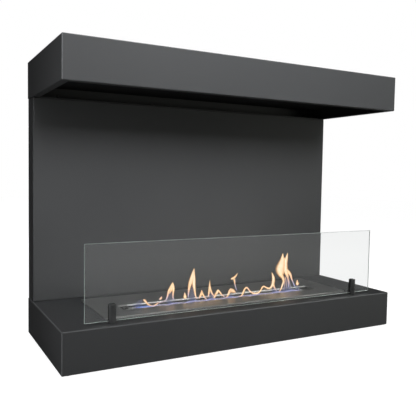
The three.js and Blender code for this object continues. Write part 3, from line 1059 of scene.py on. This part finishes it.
# Broad faint sheets of gas behind the tongues.
VEILS = [
    [(-139, 86, 9, 0.05), (-138, 98, 7.5, 0.14), (-136, 112, 4, 0.22)],
    [(-83, 86, 11, 0.05), (-84, 100, 9, 0.14), (-84, 116, 6, 0.22)],
    [(-34, 86, 10, 0.05), (-36, 96, 6, 0.16), (-38, 106, 3, 0.22)],
    [(16, 84, 9, 0.05), (17, 92, 7, 0.2)],
    [(137, 84, 7, 0.05), (137, 96, 5, 0.18)],
    [(176, 84, 24, 0.03), (176, 98, 18, 0.12), (175, 116, 11, 0.2)],
    [(209, 85, 8, 0.03), (208.5, 96, 5, 0.14)],
    [(-212, 84, 12, 0.02), (-208, 93, 8, 0.1), (-203, 98, 2, 0.14)],
]

# Nested skins, the outermost first: share of the full width, thickness, and nearness to the heart.
SHELLS = [
    (1.0, 0.10, 0.0),
    (0.86, 0.20, 0.1),
    (0.71, 0.34, 0.4),
    (0.55, 0.5, 0.85),
    (0.36, 0.75, 1.0),
]
VEIL_SHELLS = [(1.0, 0.04, 0.0), (0.8, 0.05, 0.1), (0.6, 0.06, 0.2), (0.4, 0.07, 0.3)]
BED_SHELLS = [(1.0, 0.10, 0.0), (0.7, 0.18, 0.1), (0.4, 0.30, 0.3)]


def between(p, q, r, s, t):
    """The Catmull-Rom value at t between q and r."""
    slope = (r - p) * t
    bend = (2 * p - 5 * q + 4 * r - s) * t * t
    return 0.5 * (2 * q + slope + bend + (3 * q - p - 3 * r + s) * t**3)


def smooth_run(points, steps):
    """A smooth run through the points, each a list of numbers."""
    ends = [points[0]] + list(points) + [points[-1]]
    run = []
    for four in zip(ends, ends[1:], ends[2:], ends[3:]):
        for i in range(steps):
            run.append([between(*values, i / steps) for values in zip(*four)])
    return run + [list(points[-1])]


def flame_layer(shape, layers, points, shell, flatness, thinned=True, sides=12):
    """One closed skin of a flame: rings across its run, closed to a point at both ends."""
    scale, thickness, heart = shell
    run = smooth_run(points, 6)
    rings = []
    for i, (x, z, half, heat) in enumerate(run):
        before, after = run[max(i - 1, 0)], run[min(i + 1, len(run) - 1)]
        along = Vector((after[0] - before[0], 0, after[1] - before[1])).normalized()
        across = along.cross(Vector((0, 1, 0)))
        radius = max(half, 0.3) * scale
        ring = []
        for k in range(sides):
            turn = math.tau * k / sides
            spot = Vector((x, 0, z)) + across * radius * math.cos(turn)
            spot.y += radius * flatness * math.sin(turn)
            ring.append((spot, heat))
        rings.append((ring, Vector((x, 0, z)), along * radius, heat))
    verts = []

    def corner(spot, heat):
        v = shape.verts.new(spot * MM + Vector((0, SLOT_MIDDLE, 0)))
        v[layers[0]] = min(max(heat, 0.0), 1.0)
        v[layers[1]] = heart
        full = 0.35 + 0.65 * min(max(heat * 1.6, 0.0), 1.0) if thinned else 1.0
        v[layers[2]] = thickness * full
        return v

    for ring, _, _, _ in rings:
        verts.append([corner(*c) for c in ring])
    first = corner(rings[0][1] - rings[0][2] * 0.8, rings[0][3])
    last = corner(rings[-1][1] + rings[-1][2] * 0.8, rings[-1][3])
    for a, b in zip(verts, verts[1:]):
        for k in range(sides):
            n = (k + 1) % sides
            shape.faces.new((a[k], a[n], b[n], b[k]))
    for k in range(sides):
        n = (k + 1) % sides
        shape.faces.new((first, verts[0][n], verts[0][k]))
        shape.faces.new((last, verts[-1][k], verts[-1][n]))


# Low blue runs along the slot: start, end, half width, heat.
BLUE_LEVEL = 82.8
BED = [
    (-224, 222, 1.5, 0.15),
    (-216, -166, 2.8, 0.0),
    (-150, -114, 1.8, 0.11),
    (-104, -64, 2.2, 0.10),
    (-54, -20, 2.0, 0.09),
    (2, 38, 2.0, 0.10),
    (58, 104, 1.8, 0.12),
    (128, 218, 2.8, 0.11),
]


def blue_run(start, end, half, heat):
    """A low run that ripples and swells to its middle."""
    count = max(int((end - start) / 12), 4)
    spots = []
    for i in range(count + 1):
        t = i / count
        x = start + (end - start) * t
        z = BLUE_LEVEL + 0.8 * math.sin(x * 0.14) + 0.5 * math.sin(x * 0.33 + 1)
        swell = math.sin(math.pi * t) ** 0.5 if 0 < t < 1 else 0.0
        spots.append((x, z, half * swell + 0.3, heat))
    return spots


def flames():
    """All tongues, veils and blue runs as one piece on the burner; the real damper snuffs them into
    the wool.
    """
    shape = bmesh.new()
    kept = ("warmth", "heart", "thickness")
    for name in kept:
        shape.verts.layers.float.new(name)
    layers = [shape.verts.layers.float[name] for name in kept]
    for points in TONGUES:
        fuller = [(x, z, half * 1.08 + 0.15, heat) for x, z, half, heat in points]
        for shell in SHELLS:
            flame_layer(shape, layers, fuller, shell, 0.6)
    for points in VEILS:
        for shell in VEIL_SHELLS:
            flame_layer(shape, layers, points, shell, 0.35)
    for run in BED:
        for shell in BED_SHELLS:
            flame_layer(shape, layers, blue_run(*run), shell, 1.6, thinned=False)
    bmesh.ops.recalc_face_normals(shape, faces=shape.faces)
    mesh = bpy.data.meshes.new("flames")
    shape.to_mesh(mesh)
    shape.free()
    mesh.shade_smooth()
    mesh.materials.append(FLAME)
    piece = place_piece("flames", mesh, "burner")
    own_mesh(piece)
    piece.visible_shadow = False


flames()


# ---- Floor, backdrop and lamps ----


FLOOR_SEEN = 0.93
FLOOR_GLOSS = 0.02
AIR_LEVEL = 0.16
AIR_GLOSS_FRONT, AIR_GLOSS_REAR = 0.12, 0.04


def backdrop_rays(tree):
    """Whether a ray sees the white backdrop, straight or through glass, and whether by gloss."""
    path = add(tree, "ShaderNodeLightPath").outputs
    straight = combined(tree, "MAXIMUM", path["Is Camera Ray"], path["Is Transmission Ray"])
    direct = combined(tree, "LESS_THAN", path["Diffuse Depth"], 0.5)
    return combined(tree, "MULTIPLY", straight, direct), path["Is Glossy Ray"]


def pale_floor():
    """White for the camera, with the object's shadow, and clear from below."""
    material, tree, place = new_material("pale_floor")
    seen, glossy = backdrop_rays(tree)
    bright = spanned(tree, seen, 0.0, FLOOR_SEEN)
    gloss = spanned(tree, glossy, 0.0, FLOOR_GLOSS)
    level = combined(tree, "MAXIMUM", bright, gloss)
    glow = add(tree, "ShaderNodeEmission", {"Color": (1, 1, 1, 1), "Strength": level}).outputs[0]
    cloud = speckle(tree, place, 1.5)
    plain = graded(tree, cloud, [(0.0, (0.40, 0.40, 0.40)), (1.0, (0.43, 0.43, 0.43))])
    dim = mixed(tree, glossy, plain, (0.05, 0.05, 0.05, 1))
    paint = add(tree, "ShaderNodeBsdfDiffuse", {"Color": dim}).outputs[0]
    top = add(tree, "ShaderNodeAddShader", {0: glow, 1: paint}).outputs[0]
    under = add(tree, "ShaderNodeNewGeometry").outputs["Backfacing"]
    clear = add(tree, "ShaderNodeBsdfTransparent").outputs[0]
    surface(tree, add(tree, "ShaderNodeMixShader", {0: under, 1: top, 2: clear}).outputs[0])
    half = 6.0
    corners = [(-half, -half, 0), (half, -half, 0), (half, half, 0), (-half, half, 0)]
    mesh = bpy.data.meshes.new("floor")
    mesh.from_pydata(corners, [], [(0, 1, 2, 3)])
    mesh.materials.append(material)
    floor = bpy.data.objects.new("floor", mesh)
    scene.collection.objects.link(floor)


def studio_air():
    """White behind the object for the camera and through glass; darker for gloss from behind."""
    world = bpy.data.worlds.new("studio")
    world.use_nodes = True
    scene.world = world
    tree = world.node_tree
    tree.nodes.clear()
    seen, glossy = backdrop_rays(tree)
    around = add(tree, "ShaderNodeTexCoord").outputs["Generated"]
    way = add(tree, "ShaderNodeSeparateXYZ", {0: around}).outputs
    front = spanned(tree, way["Y"], AIR_GLOSS_FRONT, AIR_GLOSS_REAR, -0.7, 0.5)
    level = add(tree, "ShaderNodeMix", {0: glossy, 2: AIR_LEVEL, 3: front}).outputs[0]
    level = add(tree, "ShaderNodeMix", {0: seen, 2: level, 3: 1.0}).outputs[0]
    air = add(tree, "ShaderNodeBackground", {"Color": (1, 1, 1, 1), "Strength": level}).outputs[0]
    add(tree, "ShaderNodeOutputWorld", {"Surface": air})


def lamp(name, place, target, size, power, colour=(1, 1, 1), spread=180, gleam=True):
    """A soft rectangular lamp, aimed at a point; without gleam it shows in no reflection."""
    light = bpy.data.lights.new(name, "AREA")
    light.shape = "RECTANGLE"
    light.size, light.size_y = size
    light.energy = power
    light.color = colour
    light.spread = math.radians(spread)
    stand = bpy.data.objects.new(name, light)
    scene.collection.objects.link(stand)
    stand.location = place
    aim = Vector(target) - Vector(place)
    stand.rotation_euler = aim.to_track_quat("-Z", "Y").to_euler()
    stand.visible_camera = False
    stand.visible_glossy = gleam


pale_floor()
studio_air()
lamp(
    "key_softbox",
    place=(0.0, -1.45, 1.28),
    target=(-0.08, 0, 0.82),
    size=(1.3, 0.9),
    power=8.6,
    colour=(0.985, 0.99, 1.0),
    spread=66,
    gleam=False,
)
lamp(
    "key_gleam",
    place=(-0.15, -1.5, 1.25),
    target=(-0.1, 0, 0.6),
    size=(2.2, 1.3),
    power=2.2,
)
lamp(
    "right_softbox",
    place=(1.3, -1.1, 0.3),
    target=(0.45, 0, 0.05),
    size=(0.6, 0.4),
    power=5.6,
    colour=(1.0, 1.0, 0.87),
    gleam=False,
)
lamp(
    "side_strip",
    place=(-0.64, -0.19, 0.33),
    target=(-0.4, -0.19, 0.33),
    size=(0.1, 0.9),
    power=0.75,
)
lamp(
    "rear_softbox",
    place=(0.5, 1.7, 0.9),
    target=(0, 0.1, 0.35),
    size=(1.4, 1.0),
    power=9,
    gleam=False,
)
lamp("top_softbox", place=(0.0, 0.8, 1.9), target=(0, 0.2, 0.5), size=(1.2, 1.2), power=5)
